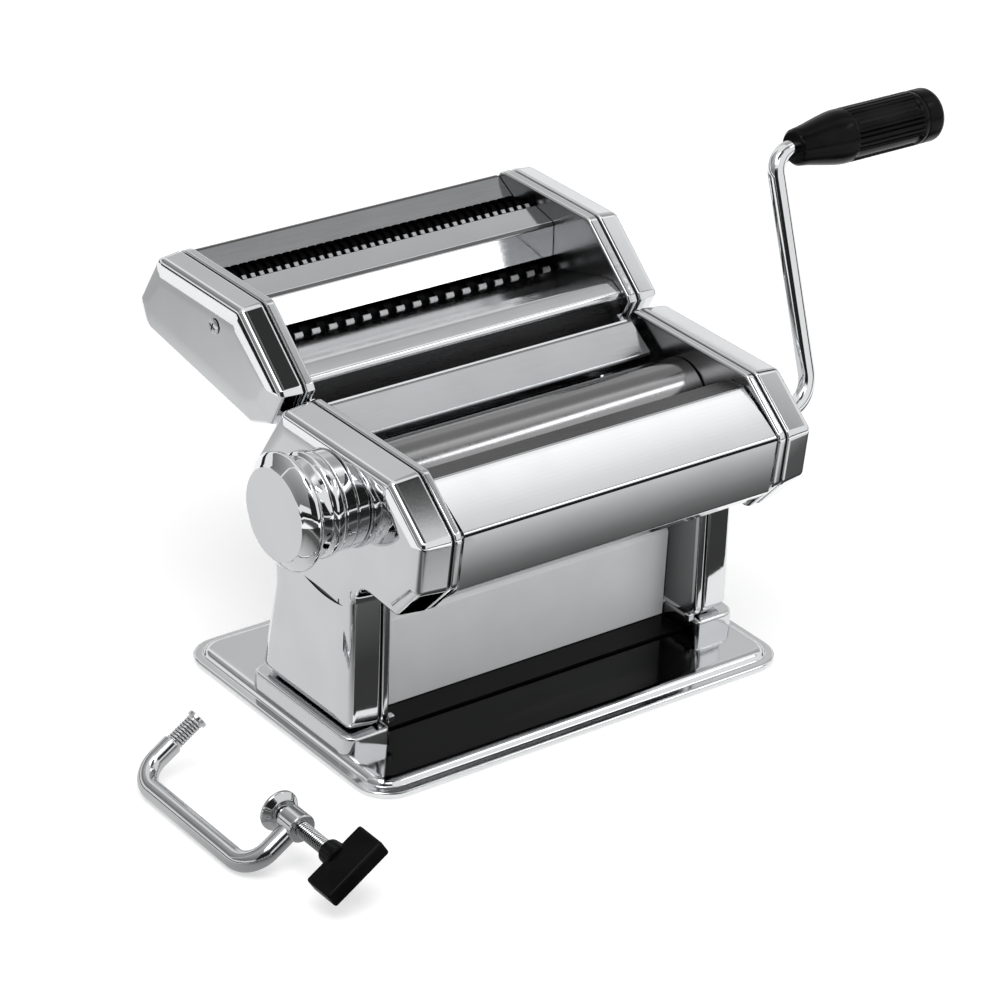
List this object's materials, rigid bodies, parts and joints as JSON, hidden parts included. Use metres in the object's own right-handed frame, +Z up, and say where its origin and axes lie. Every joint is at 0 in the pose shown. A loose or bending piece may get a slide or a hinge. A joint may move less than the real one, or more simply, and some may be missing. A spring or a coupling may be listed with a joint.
{
  "type": "hand cranked pasta machine",
  "caption": "Hand cranked pasta machine with smooth sheet rollers, a thickness knob, a lift-off twin cutter head, a crank and a table clamp.",
  "frame": {"origin": "middle of the base, in the plane of its four feet", "axes": "+X along the rollers towards the crank, +Y towards the cutter head, +Z up"},
  "size_m": [0.3635, 0.2355, 0.2091],
  "materials": {
    "cover_chrome": "mirror-polished chromed steel, pressed",
    "sheet_chrome": "bright chromed sheet, faint rolling grain",
    "plate_steel": "bright nickel-plated steel",
    "bearing_steel": "turned plain steel",
    "gear_steel": "oiled cut steel",
    "roller_chrome": "ground and plated roller",
    "cutter_steel": "turned rings, fine tool marks",
    "knob_chrome": "mirror-polished chrome",
    "crank_chrome": "bright chromed rod",
    "clamp_chrome": "bright zinc-plated rod",
    "screw_steel": "zinc-plated screw",
    "black_plastic": "black moulded plastic, satin",
    "black_rubber": "moulded rubber"
  },
  "bodies": {
    "machine": {"base_tray": "cover_chrome", "rubber_feet": "black_rubber", "foot_screws": "screw_steel", "left_side_plate": "plate_steel", "left_side_cover": "cover_chrome", "right_side_plate": "plate_steel", "right_side_cover": "cover_chrome", "front_hood": "sheet_chrome", "feed_plate": "sheet_chrome", "back_cover": "sheet_chrome", "cross_panel": "sheet_chrome", "tie_rods": "bearing_steel", "clamp_socket": "bearing_steel", "roller_bushes": "bearing_steel", "dial_ring": "knob_chrome"},
    "front_roller": {"front_roller": "roller_chrome", "front_gear": "gear_steel", "crank_socket": "bearing_steel"},
    "gap_carrier": {"left_gap_block": "bearing_steel", "right_gap_block": "bearing_steel"},
    "rear_roller": {"rear_roller": "roller_chrome", "rear_gear": "gear_steel"},
    "knob_spindle": {"gap_cam": "bearing_steel"},
    "thickness_knob": {"thickness_knob": "knob_chrome", "knob_pin": "bearing_steel", "knob_spring": "bearing_steel"},
    "crank": {"crank_rod": "crank_chrome"},
    "grip": {"crank_grip": "black_plastic", "grip_cap": "black_plastic"},
    "cutter_head": {"left_cutter_plate": "plate_steel", "left_cutter_cover": "cover_chrome", "right_cutter_plate": "plate_steel", "right_cutter_cover": "cover_chrome", "cutter_screws": "screw_steel", "cutter_rear_plate": "sheet_chrome", "cutter_middle_plate": "sheet_chrome", "cutter_front_plate": "sheet_chrome", "cutter_tie_rods": "bearing_steel", "cutter_hooks": "plate_steel"},
    "wide_lower": {"wide_lower_roller": "cutter_steel", "wide_lower_gear": "gear_steel"},
    "wide_upper": {"wide_upper_roller": "cutter_steel", "wide_upper_gear": "gear_steel"},
    "fine_front": {"fine_front_roller": "cutter_steel", "fine_front_gear": "gear_steel"},
    "fine_rear": {"fine_rear_roller": "cutter_steel", "fine_rear_gear": "gear_steel"},
    "clamp": {"clamp_rod": "clamp_chrome"},
    "pad": {"clamp_pad": "clamp_chrome"},
    "screw": {"clamp_screw": "clamp_chrome", "clamp_knob": "black_plastic"}
  },
  "joints": [
    {"name": "front_roller_spin", "type": "hinge", "parent": "machine", "child": "front_roller", "pos_m": [0, -0.053, 0.1056], "axis": [1, 0, 0], "continuous": true},
    {"name": "gap_slide", "type": "slide", "parent": "machine", "child": "gap_carrier", "axis": [0, -1, 0], "range_m": [0, 0.0022]},
    {"name": "rear_roller_spin", "type": "hinge", "parent": "gap_carrier", "child": "rear_roller", "pos_m": [0, -0.02, 0.1056], "axis": [1, 0, 0], "continuous": true},
    {"name": "knob_turn", "type": "hinge", "parent": "machine", "child": "knob_spindle", "pos_m": [0, -0.02, 0.1056], "axis": [-1, 0, 0], "range_deg": [0, 324]},
    {"name": "knob_pull", "type": "slide", "parent": "knob_spindle", "child": "thickness_knob", "axis": [-1, 0, 0], "range_m": [0, 0.0035], "stiffness_N_per_m": 900, "springref_m": -0.003, "deforming": ["knob_spring"]},
    {"name": "crank_pull", "type": "slide", "parent": "front_roller", "child": "crank", "axis": [1, 0, 0], "range_m": [0, 0.012]},
    {"name": "grip_spin", "type": "hinge", "parent": "crank", "child": "grip", "pos_m": [0.15, -0.01853, 0.1983], "axis": [1, 0, 0], "continuous": true},
    {"name": "cutter_lift", "type": "slide", "parent": "machine", "child": "cutter_head", "axis": [0, -0.5246, 0.8513], "range_m": [0, 0.04]},
    {"name": "wide_upper_spin", "type": "hinge", "parent": "cutter_head", "child": "wide_upper", "pos_m": [0, 0.07343, 0.13543], "axis": [1, 0, 0], "continuous": true},
    {"name": "wide_lower_spin", "type": "hinge", "parent": "cutter_head", "child": "wide_lower", "pos_m": [0, 0.0705, 0.1241], "axis": [1, 0, 0], "continuous": true},
    {"name": "fine_rear_spin", "type": "hinge", "parent": "cutter_head", "child": "fine_rear", "pos_m": [0, 0.09699, 0.1402], "axis": [1, 0, 0], "continuous": true},
    {"name": "fine_front_spin", "type": "hinge", "parent": "cutter_head", "child": "fine_front", "pos_m": [0, 0.086, 0.1442], "axis": [1, 0, 0], "continuous": true},
    {"name": "clamp_lift", "type": "slide", "parent": "machine", "child": "clamp", "axis": [0, 0, 1], "range_m": [0, 0.1]},
    {"name": "pad_travel", "type": "slide", "parent": "clamp", "child": "pad", "axis": [0, 1, 0], "range_m": [-0.0028, 0.0155]},
    {"name": "screw_spin", "type": "hinge", "parent": "pad", "child": "screw", "pos_m": [-0.14658, -0.08, 0.01705], "axis": [0, 1, 0], "range_deg": [-1010, 5590]}
  ],
  "couplings": [
    {"joint": "rear_roller_spin", "follows": "front_roller_spin", "ratio": -1},
    {"joint": "knob_turn", "follows": "gap_slide", "rad_per_m": 2570.4},
    {"joint": "wide_lower_spin", "follows": "wide_upper_spin", "ratio": -1},
    {"joint": "fine_front_spin", "follows": "fine_rear_spin", "ratio": -1},
    {"joint": "screw_spin", "follows": "pad_travel", "rad_per_m": 6283.2}
  ]
}
